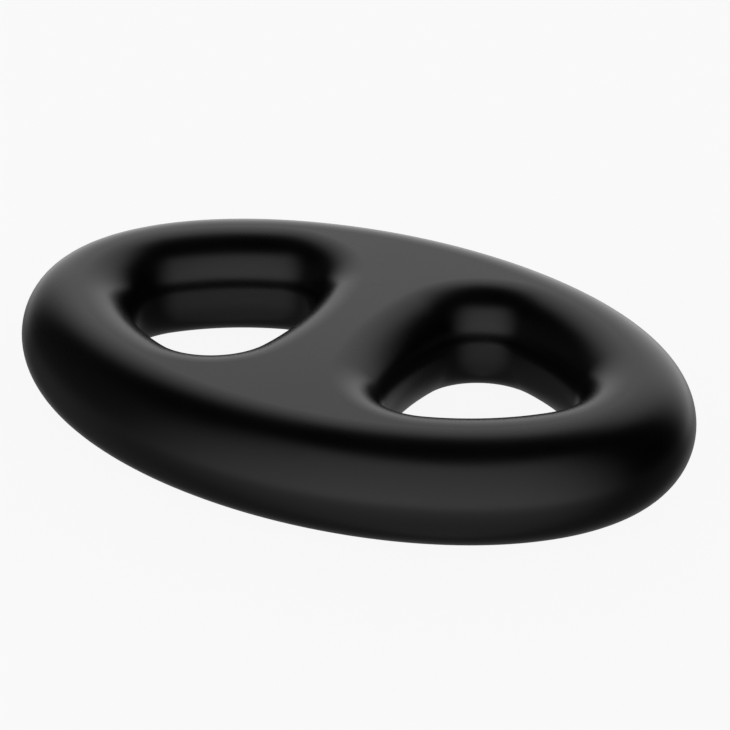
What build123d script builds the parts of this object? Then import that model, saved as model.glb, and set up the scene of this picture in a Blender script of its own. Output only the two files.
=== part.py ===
"""Oval stretch ring with two rounded openings, moulded in one piece in silicone.

The piece lies flat.  Its origin is the middle of the underside, +X runs along the oval's long axis,
+Y across it and +Z up through its thickness.  All sizes are millimetres.
"""

import os

from build123d import *

# Driving dimensions of the oval
overall_length = 75.0
overall_width = 49.7
thickness = 12.0
outer_edge_radius = 5.9  # a little under half the thickness, so the rim is round outside

# Driving dimensions of an opening, a rounded triangle that points away from the web
web_width = 14.4  # between the two openings, at its narrowest on the short axis
web_bow_radius = 28.6  # the side along the web
side_bow_radius = 24.2  # the two sides along the rim
side_centre_along = 6.5  # centres of their arcs, measured from the middle of the ring
side_centre_across = 12.7
corner_radius = 4.9  # where the web runs into the rim
tip_radius = 6.2  # at the end of the oval
mouth_radius = 5.5  # leaves a narrow straight throat halfway down the opening

# Places worked out from them
web_bow_centre = web_width / 2 + web_bow_radius


# The plug that clears one opening: where three discs overlap, with its three corners rounded
with BuildPart() as opening_plug:
    with BuildSketch() as opening:
        with Locations((web_bow_centre, 0)):
            Circle(web_bow_radius)
        for across in (-side_centre_across, side_centre_across):
            with Locations((side_centre_along, across)):
                Circle(side_bow_radius, mode=Mode.INTERSECT)
        tip = opening.vertices().sort_by(Axis.X)[-1]
        fillet(tip, tip_radius)
        web_corners = opening.vertices().sort_by(Axis.X)[:2]
        fillet(web_corners, corner_radius)
    extrude(amount=thickness)


# The ring: an oval slab with both openings cut through, their mouths rounded over and the outside round
with BuildPart() as silicone_ring:
    with BuildSketch():
        Ellipse(overall_length / 2, overall_width / 2)
    extrude(amount=thickness)
    add(opening_plug.part, mode=Mode.SUBTRACT)
    add(opening_plug.part.mirror(Plane.YZ), mode=Mode.SUBTRACT)

    flat_faces = silicone_ring.faces().filter_by(Axis.Z)
    mouth_edges = [edge for face in flat_faces for wire in face.inner_wires() for edge in wire.edges()]
    fillet(mouth_edges, mouth_radius)

    flat_faces = silicone_ring.faces().filter_by(Axis.Z)
    rim_edges = [edge for face in flat_faces for edge in face.outer_wire().edges()]
    fillet(rim_edges, outer_edge_radius)

silicone_ring.part.label = "silicone_ring"

os.makedirs("parts", exist_ok=True)
export_step(silicone_ring.part, "parts/silicone_ring.step")
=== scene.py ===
"""Looks of a two-hole stretch ring in black silicone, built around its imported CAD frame.

The ring is one moulding that lies flat on its web and on the crest of its rim.  Its surface follows one
rule: the full thickness everywhere, but for a quarter round along the outer edge and one along the mouth
of each opening.  Geometry Nodes lay a strip of faces over each of these rounds and fill the flats between
them.  Sizes are written in millimetres and angles in degrees, and turned to metres and radians on use.
"""

import logging
import math
from collections.abc import Sequence
from dataclasses import dataclass, field
from enum import Enum
from typing import ClassVar

import bmesh
import bpy
from mathutils import Matrix, Vector


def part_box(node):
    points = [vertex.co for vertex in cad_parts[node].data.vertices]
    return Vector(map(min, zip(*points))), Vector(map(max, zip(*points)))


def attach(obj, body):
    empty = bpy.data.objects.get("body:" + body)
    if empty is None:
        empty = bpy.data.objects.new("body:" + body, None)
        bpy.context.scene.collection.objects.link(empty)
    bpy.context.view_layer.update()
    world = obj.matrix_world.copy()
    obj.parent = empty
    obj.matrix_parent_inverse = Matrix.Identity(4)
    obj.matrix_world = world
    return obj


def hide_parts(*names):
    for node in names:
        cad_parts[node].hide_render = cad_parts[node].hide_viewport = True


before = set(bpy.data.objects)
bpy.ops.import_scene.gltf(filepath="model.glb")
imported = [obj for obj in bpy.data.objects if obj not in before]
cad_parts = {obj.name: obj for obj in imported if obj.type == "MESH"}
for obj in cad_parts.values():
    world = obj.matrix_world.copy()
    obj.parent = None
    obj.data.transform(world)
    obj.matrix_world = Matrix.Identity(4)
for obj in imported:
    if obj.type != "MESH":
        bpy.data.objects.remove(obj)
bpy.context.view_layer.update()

log = logging.getLogger("stretch_ring")

CAD_NODE = "silicone_ring"
ROOT_BODY = "root"


def metres(millimetres: float) -> float:
    """Returns a length in metres."""
    return millimetres / 1000.0


def linear(hex_colour: str) -> tuple[float, float, float, float]:
    """Turns an sRGB colour to the linear one that Blender's shaders take.

    Args:
        hex_colour: The colour as "#rrggbb".

    Returns:
        Linear red, green and blue, with an alpha of 1.
    """
    channels = [int(hex_colour[i : i + 2], 16) / 255.0 for i in (1, 3, 5)]
    curve = [c / 12.92 if c <= 0.04045 else ((c + 0.055) / 1.055) ** 2.4 for c in channels]
    return (*curve, 1.0)


def add_node(
    tree: bpy.types.NodeTree,
    kind: str,
    inputs: dict[str | int, object] | Sequence[object] = (),
    **settings: object,
) -> bpy.types.Node:
    """Adds a node to a tree, with its settings and links.

    Args:
        tree: The tree that gets the node.
        kind: The node's type.
        inputs: What goes into the node, by input name or number, or in the order of its inputs.  Each
            is a value, an output socket, or a node, which stands for its first output.
        **settings: The node's own properties, such as a Math node's operation.

    Returns:
        The new node.
    """
    node = tree.nodes.new(kind)
    for name, value in settings.items():
        setattr(node, name, value)
    for key, value in inputs.items() if isinstance(inputs, dict) else enumerate(inputs):
        if isinstance(value, bpy.types.Node):
            value = value.outputs[0]
        if isinstance(value, bpy.types.NodeSocket):
            tree.links.new(value, node.inputs[key])
        else:
            node.inputs[key].default_value = value
    return node


class MiddlePlane(Enum):
    """The middle planes that the tree mirrors parts in, each by the scale that does it."""

    ALONG = (-1.0, 1.0, 1.0)
    THROUGH = (1.0, 1.0, -1.0)


@dataclass(frozen=True)
class Arc:
    """A circular arc in plan, from one point to another the short way round."""

    centre: Vector
    start: Vector
    end: Vector

    def points(self, count: int) -> list[Vector]:
        """Points along the arc, evenly spaced, without its end.

        Args:
            count: How many steps the arc is cut into.

        Returns:
            The points, from the start on.
        """
        arm = self.start - self.centre
        turn = arm.angle_signed(self.end - self.centre)
        turns = [Matrix.Rotation(-turn * i / count, 2) for i in range(count)]
        return [self.centre + rotation @ arm for rotation in turns]


@dataclass(frozen=True)
class Opening:
    """The outline of an opening: where three discs overlap, with its corners rounded.

    One disc's edge runs along the web and two run along the rim.  The outline is drawn in plan, in
    millimetres from the middle of the ring, for the opening on the +X side.
    """

    web_width: float = 14.4
    web_bow_radius: float = 28.6
    side_bow_radius: float = 24.2
    side_centre_along: float = 6.5
    side_centre_across: float = 12.7
    corner_radius: float = 4.9
    tip_radius: float = 6.2
    steps_per_arc: int = 160

    def outline(self) -> list[Vector]:
        """The whole outline, counter-clockwise from the tip.

        Returns:
            Points in plan, close enough together to pass for the arcs themselves.
        """
        web = Vector((self.web_width / 2 + self.web_bow_radius, 0.0))
        side = Vector((self.side_centre_along, -self.side_centre_across))
        tip_reach = self.side_bow_radius - self.tip_radius
        tip = Vector((side.x + math.sqrt(tip_reach**2 - side.y**2), 0.0))
        corner = self._corner_centre(web, side)
        tip_end = tip + Vector((self.tip_radius, 0.0))
        side_start = side + (tip - side).normalized() * self.side_bow_radius
        side_end = side + (corner - side).normalized() * self.side_bow_radius
        corner_end = web + (corner - web).normalized() * self.web_bow_radius
        web_middle = Vector((self.web_width / 2, 0.0))
        arcs = [
            Arc(tip, tip_end, side_start),
            Arc(side, side_start, side_end),
            Arc(corner, side_end, corner_end),
            Arc(web, corner_end, web_middle),
        ]
        upper = [point for arc in arcs for point in arc.points(self.steps_per_arc)]
        lower = [Vector((point.x, -point.y)) for point in reversed(upper[1:])]
        return upper + [web_middle] + lower

    def _corner_centre(self, web: Vector, side: Vector) -> Vector:
        """The centre of the arc that rounds the corner between the web's side and the rim's side."""
        web_reach = self.web_bow_radius - self.corner_radius
        side_reach = self.side_bow_radius - self.corner_radius
        apart = web - side
        along = (side_reach**2 - web_reach**2 + apart.length_squared) / (2 * apart.length)
        aside = math.sqrt(side_reach**2 - along**2)
        direction = apart.normalized()
        return side + direction * along + Vector((-direction.y, direction.x)) * aside


@dataclass(frozen=True)
class MouldedSilicone:
    """Silicone rubber, pigmented black and compression moulded in a fine bead-blasted steel tool.

    The pigment leaves next to no body colour, so all that the eye sees is the satin surface: broad soft
    reflections that fade to black, a little stronger at grazing angles, with no mirror edge.
    """

    NOISE_LOW: ClassVar[float] = 0.3  # noise hardly ever leaves this range
    NOISE_HIGH: ClassVar[float] = 0.7
    name: str = "black_silicone_rubber_moulded"
    colour: str = "#010101"
    ior: float = 1.41
    roughness: float = 0.28
    polish_patch: float = 9.0  # millimetres across a patch that handling has polished a little
    polish_range: float = 0.02  # how far the roughness goes either way
    grain_pitch: float = 0.3  # millimetres; the tool's blasted grain, drawn at twice its real pitch to show
    grain_height: float = 0.0007

    def material(self) -> bpy.types.Material:
        """Makes the material, on Object coordinates.

        Returns:
            The material, ready to be assigned.
        """
        material = bpy.data.materials.new(self.name)
        material.use_nodes = True
        tree = material.node_tree
        tree.nodes.clear()
        place = add_node(tree, "ShaderNodeTexCoord").outputs["Object"]
        patches = add_node(
            tree,
            "ShaderNodeTexNoise",
            {"Vector": place, "Scale": 1.0 / metres(self.polish_patch), "Detail": 3.0},
        )
        roughness = add_node(
            tree,
            "ShaderNodeMapRange",
            {
                "Value": patches.outputs["Fac"],
                "From Min": self.NOISE_LOW,
                "From Max": self.NOISE_HIGH,
                "To Min": self.roughness - self.polish_range,
                "To Max": self.roughness + self.polish_range,
            },
        )
        grain = add_node(
            tree,
            "ShaderNodeTexNoise",
            {"Vector": place, "Scale": 1.0 / metres(self.grain_pitch), "Detail": 2.0},
        )
        bump = add_node(
            tree,
            "ShaderNodeBump",
            {"Height": grain.outputs["Fac"], "Distance": metres(self.grain_height), "Strength": 1.0},
        )
        shader = add_node(
            tree,
            "ShaderNodeBsdfPrincipled",
            {
                "Base Color": linear(self.colour),
                "IOR": self.ior,
                "Roughness": roughness.outputs["Result"],
                "Normal": bump.outputs["Normal"],
            },
        )
        add_node(tree, "ShaderNodeOutputMaterial", {"Surface": shader.outputs["BSDF"]})
        return material


class RingSurface:
    """The Geometry Nodes tree that rounds over the ring's edges and fills the flats between them.

    Each edge gets a strip of faces: one row up the throat's wall, then rows that climb the round, and
    last a narrow brim on the flat.  The outer edge has no wall, so there that row has no height and is
    merged away.  Two attributes say where on a strip a point is: "along", from 0 to 1 round the edge,
    and "climb", from 0 on the middle plane to 1 at the brim's far side.
    """

    FLOATS = ("Half Length", "Half Width", "Half Thickness", "Edge Radius", "Mouth Radius", "Brim")
    COUNTS = ("Edge Steps", "Mouth Steps", "Round Steps")
    MERGE = 1e-6  # metres: points nearer than this are the same point
    WALL_AND_BRIM = 2.0  # the rows of faces on a strip besides those of its round

    def __init__(self) -> None:
        """Builds the tree."""
        self.tree = bpy.data.node_groups.new("ring_surface", "GeometryNodeTree")
        self.sockets: dict[str, str] = {}
        self._add_interface()
        self.given = add_node(self.tree, "NodeGroupInput").outputs
        self.along = add_node(
            self.tree, "GeometryNodeInputNamedAttribute", {"Name": "along"}, data_type="FLOAT"
        )
        self.climb = add_node(
            self.tree, "GeometryNodeInputNamedAttribute", {"Name": "climb"}, data_type="FLOAT"
        )
        edge = self._strip(*self._oval(), self.given["Edge Radius"], self.given["Edge Steps"])
        mouth = self._strip(*self._mouth(), self.given["Mouth Radius"], self.given["Mouth Steps"])
        mouths = self._mirrored(mouth, MiddlePlane.ALONG)
        strips = add_node(self.tree, "GeometryNodeJoinGeometry", [edge])
        self.tree.links.new(mouths.outputs[0], strips.inputs[0])
        self._finish(self._mirrored(self._filled(strips), MiddlePlane.THROUGH))

    def _add_interface(self) -> None:
        """Names the tree's inputs and its output."""
        face = self.tree.interface
        face.new_socket(name="Outline", in_out="INPUT", socket_type="NodeSocketGeometry")
        kinds = {name: "NodeSocketFloat" for name in self.FLOATS}
        kinds.update({name: "NodeSocketInt" for name in self.COUNTS})
        kinds["Material"] = "NodeSocketMaterial"
        for name, kind in kinds.items():
            self.sockets[name] = face.new_socket(name=name, in_out="INPUT", socket_type=kind).identifier
        face.new_socket(name="Surface", in_out="OUTPUT", socket_type="NodeSocketGeometry")

    def _oval(self) -> tuple[bpy.types.Node, bpy.types.Node]:
        """Finds where the outer edge runs.

        Returns:
            The nodes that give a point's place on the oval and the way inwards, square to it.
        """
        tree, given = self.tree, self.given
        turn = add_node(tree, "ShaderNodeMath", [self.along, 2 * math.pi], operation="MULTIPLY")
        cosine = add_node(tree, "ShaderNodeMath", [turn], operation="COSINE")
        sine = add_node(tree, "ShaderNodeMath", [turn], operation="SINE")
        round_arm = add_node(tree, "ShaderNodeCombineXYZ", [cosine, sine])
        sizes = add_node(tree, "ShaderNodeCombineXYZ", [given["Half Length"], given["Half Width"]])
        swapped = add_node(tree, "ShaderNodeCombineXYZ", [given["Half Width"], given["Half Length"]])
        place = add_node(tree, "ShaderNodeVectorMath", [round_arm, sizes], operation="MULTIPLY")
        outward = add_node(tree, "ShaderNodeVectorMath", [round_arm, swapped], operation="MULTIPLY")
        unit = add_node(tree, "ShaderNodeVectorMath", [outward], operation="NORMALIZE")
        inward = add_node(tree, "ShaderNodeVectorMath", {0: unit, "Scale": -1.0}, operation="SCALE")
        return place, inward

    def _mouth(self) -> tuple[bpy.types.NodeSocket, bpy.types.Node]:
        """Finds where the edge of an opening runs.

        Returns:
            The socket that gives a point's place on the outline, and the node that gives the way out
            of the opening, square to it.
        """
        found = add_node(
            self.tree,
            "GeometryNodeSampleCurve",
            {"Curves": self.given["Outline"], "Factor": self.along},
            mode="FACTOR",
        )
        across = add_node(
            self.tree,
            "ShaderNodeVectorMath",
            [found.outputs["Tangent"], (0.0, 0.0, 1.0)],
            operation="CROSS_PRODUCT",
        )
        return found.outputs["Position"], across

    def _strip(
        self,
        place: bpy.types.Node | bpy.types.NodeSocket,
        into: bpy.types.Node,
        radius: bpy.types.NodeSocket,
        steps: bpy.types.NodeSocket,
    ) -> bpy.types.Node:
        """Rounds over one edge, from the middle plane up.

        Args:
            place: Where on the edge a point belongs, by "along".
            into: The way from the edge into the rubber there.
            radius: The radius of the round.
            steps: How many steps the edge is cut into.

        Returns:
            The node that gives the strip, with a closed curve along the brim's far side.
        """
        tree, given = self.tree, self.given
        rows = add_node(tree, "ShaderNodeMath", [given["Round Steps"], self.WALL_AND_BRIM])
        points_along = add_node(tree, "ShaderNodeMath", [steps, 1.0])
        points_up = add_node(tree, "ShaderNodeMath", [rows, 1.0])
        grid = add_node(tree, "GeometryNodeMeshGrid", [1.0, 1.0, points_along, points_up])
        spot = add_node(tree, "ShaderNodeSeparateXYZ", [add_node(tree, "GeometryNodeInputPosition")])
        grid_along = add_node(tree, "ShaderNodeMath", [spot.outputs["X"], 0.5])
        grid_climb = add_node(tree, "ShaderNodeMath", [spot.outputs["Y"], 0.5])
        loop = add_node(tree, "GeometryNodeCurvePrimitiveCircle", {"Resolution": steps})
        number = add_node(tree, "GeometryNodeInputIndex")
        loop_along = add_node(tree, "ShaderNodeMath", [number, steps], operation="DIVIDE")
        carriers = add_node(tree, "GeometryNodeJoinGeometry")
        for carrier, along, climb in ((grid, grid_along, grid_climb), (loop, loop_along, 1.0)):
            for name, value in (("along", along), ("climb", climb)):
                carrier = add_node(
                    tree,
                    "GeometryNodeStoreNamedAttribute",
                    {"Geometry": carrier, "Name": name, "Value": value},
                    data_type="FLOAT",
                    domain="POINT",
                )
            tree.links.new(carrier.outputs[0], carriers.inputs[0])

        wall_end = add_node(tree, "ShaderNodeMath", [1.0, rows], operation="DIVIDE")
        round_end = add_node(tree, "ShaderNodeMath", [1.0, wall_end], operation="SUBTRACT")
        foot = add_node(tree, "ShaderNodeMath", [given["Half Thickness"], radius], operation="SUBTRACT")
        wall, tilt, brim = (
            add_node(tree, "ShaderNodeMapRange", [self.climb, start, end, 0.0, top])
            for start, end, top in (
                (0.0, wall_end, foot),
                (wall_end, round_end, math.pi / 2),
                (round_end, 1.0, given["Brim"]),
            )
        )
        sine = add_node(tree, "ShaderNodeMath", [tilt], operation="SINE")
        cosine = add_node(tree, "ShaderNodeMath", [tilt], operation="COSINE")
        height = add_node(tree, "ShaderNodeMath", [sine, radius, wall], operation="MULTIPLY_ADD")
        short = add_node(tree, "ShaderNodeMath", [1.0, cosine], operation="SUBTRACT")
        depth = add_node(tree, "ShaderNodeMath", [short, radius, brim], operation="MULTIPLY_ADD")
        step = add_node(tree, "ShaderNodeVectorMath", {0: into, "Scale": depth}, operation="SCALE")
        lift = add_node(tree, "ShaderNodeCombineXYZ", {"Z": height})
        level = add_node(tree, "ShaderNodeVectorMath", [place, step])
        point = add_node(tree, "ShaderNodeVectorMath", [level, lift])
        return add_node(tree, "GeometryNodeSetPosition", {"Geometry": carriers, "Position": point})

    def _filled(self, strips: bpy.types.Node) -> bpy.types.Node:
        """Fills the flat between the strips.

        Args:
            strips: The node that gives all the strips, with their curves.

        Returns:
            The node that gives the upper half of the ring's surface.
        """
        parts = add_node(self.tree, "GeometryNodeSeparateComponents", [strips]).outputs
        flat = add_node(self.tree, "GeometryNodeFillCurve", [parts["Curve"]])
        up = add_node(self.tree, "ShaderNodeCombineXYZ", {"Z": self.given["Half Thickness"]})
        raised = add_node(self.tree, "GeometryNodeTransform", {"Geometry": flat, "Translation": up})
        half = add_node(self.tree, "GeometryNodeJoinGeometry", [parts["Mesh"]])
        self.tree.links.new(raised.outputs[0], half.inputs[0])
        return half

    def _mirrored(self, part: bpy.types.Node, plane: MiddlePlane) -> bpy.types.Node:
        """Adds a part's mirror image to it.

        Args:
            part: The node that gives the part.
            plane: The middle plane to mirror it in.

        Returns:
            The node that gives both.
        """
        image = add_node(self.tree, "GeometryNodeTransform", {"Geometry": part, "Scale": plane.value})
        turned = add_node(self.tree, "GeometryNodeFlipFaces", [image])
        both = add_node(self.tree, "GeometryNodeJoinGeometry", [part])
        self.tree.links.new(turned.outputs[0], both.inputs[0])
        return both

    def _finish(self, whole: bpy.types.Node) -> None:
        """Closes the seams, stands the ring on its underside and gives it its material.

        Args:
            whole: The node that gives the whole surface, round the middle of the ring.
        """
        closed = add_node(
            self.tree, "GeometryNodeMergeByDistance", {"Geometry": whole, "Distance": self.MERGE}
        )
        up = add_node(self.tree, "ShaderNodeCombineXYZ", {"Z": self.given["Half Thickness"]})
        stood = add_node(self.tree, "GeometryNodeTransform", {"Geometry": closed, "Translation": up})
        smooth = add_node(self.tree, "GeometryNodeSetShadeSmooth", [stood])
        real = add_node(self.tree, "GeometryNodeRealizeInstances", [smooth])
        dressed = add_node(
            self.tree,
            "GeometryNodeSetMaterial",
            {"Geometry": real, "Material": self.given["Material"]},
        )
        add_node(self.tree, "NodeGroupOutput", [dressed])


@dataclass
class StretchRing:
    """The ring itself.  Its overall sizes come from its CAD node and the rest are in millimetres."""

    opening: Opening = field(default_factory=Opening)
    finish: MouldedSilicone = field(default_factory=MouldedSilicone)
    mouth_radius: float = 5.5
    brim: float = 0.1  # keeps the round's slope out of the flat's shading
    edge_steps: int = 320
    mouth_steps: int = 240
    round_steps: int = 22

    def build(self) -> bpy.types.Object:
        """Makes the ring's mesh, dresses it and hands it to the frame.

        Returns:
            The finished piece, at the origin.
        """
        low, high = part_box(CAD_NODE)
        half_thickness = (high.z - low.z) / 2
        sizes = {
            "Half Length": (high.x - low.x) / 2,
            "Half Width": (high.y - low.y) / 2,
            "Half Thickness": half_thickness,
            "Edge Radius": half_thickness,
            "Mouth Radius": metres(self.mouth_radius),
            "Brim": metres(self.brim),
            "Edge Steps": self.edge_steps,
            "Mouth Steps": self.mouth_steps,
            "Round Steps": self.round_steps,
            "Material": self.finish.material(),
        }
        mesh = self._surface(sizes)
        self._close(mesh)
        ring = bpy.data.objects.new("moulded_ring", mesh)
        bpy.context.scene.collection.objects.link(ring)
        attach(ring, ROOT_BODY)
        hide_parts(CAD_NODE)
        return ring

    def _surface(self, sizes: dict[str, object]) -> bpy.types.Mesh:
        """Runs the tree on the outline of an opening.

        Args:
            sizes: A value for each of the tree's named inputs.

        Returns:
            The ring's mesh, with its material.
        """
        curve = bpy.data.curves.new("opening_outline", "CURVE")
        curve.dimensions = "3D"
        points = self.opening.outline()
        spline = curve.splines.new("POLY")
        spline.points.add(len(points) - 1)
        for spline_point, point in zip(spline.points, points):
            spline_point.co = (metres(point.x), metres(point.y), 0.0, 1.0)
        spline.use_cyclic_u = True
        outline = bpy.data.objects.new("opening_outline", curve)
        bpy.context.scene.collection.objects.link(outline)
        surface = RingSurface()
        modifier = outline.modifiers.new("surface", "NODES")
        modifier.node_group = surface.tree
        for name, value in sizes.items():
            modifier[surface.sockets[name]] = value
        seen = outline.evaluated_get(bpy.context.evaluated_depsgraph_get())
        mesh = bpy.data.meshes.new_from_object(seen)
        outline.modifiers.remove(modifier)
        bpy.data.objects.remove(outline)
        mesh.name = "moulded_ring"
        return mesh

    @staticmethod
    def _close(mesh: bpy.types.Mesh) -> None:
        """Points every face outwards and reports whether the surface is closed."""
        working = bmesh.new()
        working.from_mesh(mesh)
        bmesh.ops.recalc_face_normals(working, faces=working.faces)
        open_edges = sum(1 for edge in working.edges if not edge.is_manifold)
        log.info("ring: %d faces, %d open edges", len(working.faces), open_edges)
        working.to_mesh(mesh)
        working.free()


@dataclass
class Sweep:
    """The pale floor, which curves up into a wall all round, out of the way of any view."""

    name: str = "studio_floor"
    colour: str = "#404040"
    glow_colour: str = "#fbfbfb"
    glow: float = 0.95  # the sweep is lit from behind, so it hardly takes a shadow
    floor_radius: float = 1200.0
    wall_curve: float = 500.0
    wall_height: float = 1600.0
    steps_round: int = 96
    steps_up: int = 16

    def build(self) -> bpy.types.Object:
        """Makes the sweep under the ring.

        Returns:
            The floor, hidden from the ring's reflections and from shadow rays.
        """
        quarter = [math.pi / 2 * i / self.steps_up for i in range(self.steps_up + 1)]
        profile = [
            (self.floor_radius + self.wall_curve * math.sin(a), self.wall_curve * (1 - math.cos(a)))
            for a in quarter
        ]
        profile.append((self.floor_radius + self.wall_curve, self.wall_height))
        mesh = bpy.data.meshes.new(self.name)
        working = bmesh.new()
        rings = []
        for radius, height in profile:
            angles = [2 * math.pi * i / self.steps_round for i in range(self.steps_round)]
            rings.append(
                [
                    working.verts.new(
                        (metres(radius) * math.cos(a), metres(radius) * math.sin(a), metres(height))
                    )
                    for a in angles
                ]
            )
        working.faces.new(rings[0])
        for lower, upper in zip(rings, rings[1:]):
            for i in range(self.steps_round):
                j = (i + 1) % self.steps_round
                working.faces.new((lower[i], lower[j], upper[j], upper[i]))
        for face in working.faces:
            face.smooth = len(face.verts) == 4
        working.to_mesh(mesh)
        working.free()
        floor = bpy.data.objects.new(self.name, mesh)
        bpy.context.scene.collection.objects.link(floor)
        mesh.materials.append(self._material())
        floor.visible_glossy = False
        floor.visible_shadow = False
        return floor

    def _material(self) -> bpy.types.Material:
        """Matt white acrylic sheet, lit from behind: an even pale tone with no highlight."""
        material = bpy.data.materials.new("white_acrylic_sweep_backlit")
        material.use_nodes = True
        shader = material.node_tree.nodes["Principled BSDF"]
        shader.inputs["Base Color"].default_value = linear(self.colour)
        shader.inputs["Roughness"].default_value = 1.0
        shader.inputs["Specular IOR Level"].default_value = 0.0
        shader.inputs["Emission Color"].default_value = linear(self.glow_colour)
        shader.inputs["Emission Strength"].default_value = self.glow
        return material


@dataclass(frozen=True)
class SoftWall:
    """A tall soft source far away, with the floor that it lights.

    It is brightest along its heading and fades evenly to nothing at both sides.  Up and down, its
    brightness runs evenly from each value to the next.  Radiances are those along the heading.
    """

    heading: float  # degrees clockwise from +Y, seen from above
    half_width: float  # degrees from its middle to where it has faded out
    under: float  # radiance of the floor straight below
    near: float  # and of the floor at the wall's foot
    foot: float  # radiance of the wall at its foot
    head: float  # and at its head
    foot_elevation: float  # degrees
    head_elevation: float
    foot_blend: float = 8.0  # degrees over which the floor gives way to the wall
    head_fade: float = 12.0  # degrees over which the wall fades out above its head

    def stops(self) -> list[tuple[float, float]]:
        """The elevations, in degrees, that the brightness changes at, each with its radiance."""
        return [
            (-90.0, self.under),
            (self.foot_elevation - self.foot_blend, self.near),
            (self.foot_elevation, self.foot),
            (self.head_elevation, self.head),
            (self.head_elevation + self.head_fade, 0.0),
        ]

    def strength(
        self, tree: bpy.types.NodeTree, level: bpy.types.Node, height: bpy.types.Node
    ) -> bpy.types.Node:
        """Adds the nodes that give the source's radiance.

        Args:
            tree: The world's tree.
            level: The node that gives the direction looked in, turned level.
            height: The node that gives how high it points, from 0 straight down to 1 straight up.

        Returns:
            The node that gives the radiance.
        """
        around = math.radians(self.heading)
        facing = add_node(
            tree,
            "ShaderNodeVectorMath",
            [level, (math.sin(around), math.cos(around), 0.0)],
            operation="DOT_PRODUCT",
        ).outputs["Value"]
        edge = math.cos(math.radians(self.half_width))
        share = add_node(
            tree, "ShaderNodeMapRange", [facing, edge, 1.0, 0.0, 1.0], interpolation_type="SMOOTHSTEP"
        )
        ramp = add_node(tree, "ShaderNodeValToRGB", [height])
        stops = ramp.color_ramp.elements
        stops.remove(stops[-1])
        for number, (elevation, radiance) in enumerate(self.stops()):
            position = (1.0 + math.sin(math.radians(elevation))) / 2
            stop = stops.new(position) if number else stops[0]
            stop.position = position
            stop.color = (radiance, radiance, radiance, 1.0)
        return add_node(tree, "ShaderNodeMath", [ramp, share], operation="MULTIPLY")


@dataclass
class Studio:
    """The camera, and the light: three soft walls round the ring and a dim bounce from below."""

    azimuth: float = 28.7
    elevation: float = 29.4
    distance: float = 255.0
    lens: float = 120.6
    shift: tuple[float, float] = (0.0231, 0.0063)
    bounce: float = 0.07  # radiance from below, all round
    bounce_top: float = -15.0  # degrees of elevation that the bounce fades out from

    def build(self) -> None:
        """Makes the camera and the light."""
        self._camera()
        self._light()

    def _camera(self) -> None:
        """Makes the camera, aimed at the middle of the ring."""
        around, up = math.radians(self.azimuth), math.radians(self.elevation)
        back = Vector((math.sin(around) * math.cos(up), -math.cos(around) * math.cos(up), math.sin(up)))
        low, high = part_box(CAD_NODE)
        data = bpy.data.cameras.new("camera")
        data.sensor_width = 36.0
        data.lens = self.lens
        data.shift_x, data.shift_y = self.shift
        camera = bpy.data.objects.new("camera", data)
        bpy.context.scene.collection.objects.link(camera)
        camera.location = (low + high) / 2 + back * metres(self.distance)
        camera.rotation_euler = back.to_track_quat("Z", "Y").to_euler()
        bpy.context.scene.camera = camera

    def _light(self) -> None:
        """Makes the soft light as a world whose brightness depends on the direction alone."""
        heading = -self.azimuth
        behind_camera = SoftWall(
            heading=heading - 173.0,
            half_width=77.0,
            under=0.18,
            near=0.6,
            foot=1.4,
            head=1.0,
            foot_elevation=-14.0,
            head_elevation=58.0,
        )
        facing_camera = SoftWall(
            heading=heading + 9.5,
            half_width=57.0,
            under=0.0,
            near=0.35,
            foot=1.2,
            head=1.0,
            foot_elevation=-12.0,
            head_elevation=50.0,
        )
        on_the_left = SoftWall(
            heading=heading - 90.0,
            half_width=50.0,
            under=0.0,
            near=0.1,
            foot=0.1,
            head=0.05,
            foot_elevation=-12.0,
            head_elevation=35.0,
        )
        world = bpy.data.worlds.new("soft_studio_light")
        world.use_nodes = True
        bpy.context.scene.world = world
        tree = world.node_tree
        tree.nodes.clear()
        direction = add_node(tree, "ShaderNodeTexCoord").outputs["Generated"]
        flat = add_node(
            tree, "ShaderNodeVectorMath", [direction, (1.0, 1.0, 0.0)], operation="MULTIPLY"
        )
        level = add_node(tree, "ShaderNodeVectorMath", [flat], operation="NORMALIZE")
        rise = add_node(tree, "ShaderNodeSeparateXYZ", [direction]).outputs["Z"]
        height = add_node(tree, "ShaderNodeMapRange", [rise, -1.0, 1.0, 0.0, 1.0])
        below = math.sin(math.radians(self.bounce_top))
        total = add_node(tree, "ShaderNodeMapRange", [rise, below, 0.0, self.bounce, 0.0])
        for wall in (behind_camera, facing_camera, on_the_left):
            strength = wall.strength(tree, level, height)
            total = add_node(tree, "ShaderNodeMath", [total, strength])
        background = add_node(tree, "ShaderNodeBackground", [(1.0, 1.0, 1.0, 1.0), total])
        add_node(tree, "ShaderNodeOutputWorld", [background])


def main() -> None:
    """Builds the ring, the floor, the camera and the light, and reports each."""
    logging.basicConfig(level=logging.INFO, format="%(name)s: %(message)s")
    bpy.context.scene.view_settings.view_transform = "Standard"
    Studio().build()
    log.info("made %s", Sweep().build().name)
    ring = StretchRing().build()
    log.info("made %s with %d triangles", ring.name, sum(len(f.vertices) - 2 for f in ring.data.polygons))


if __name__ == "__main__":
    main()
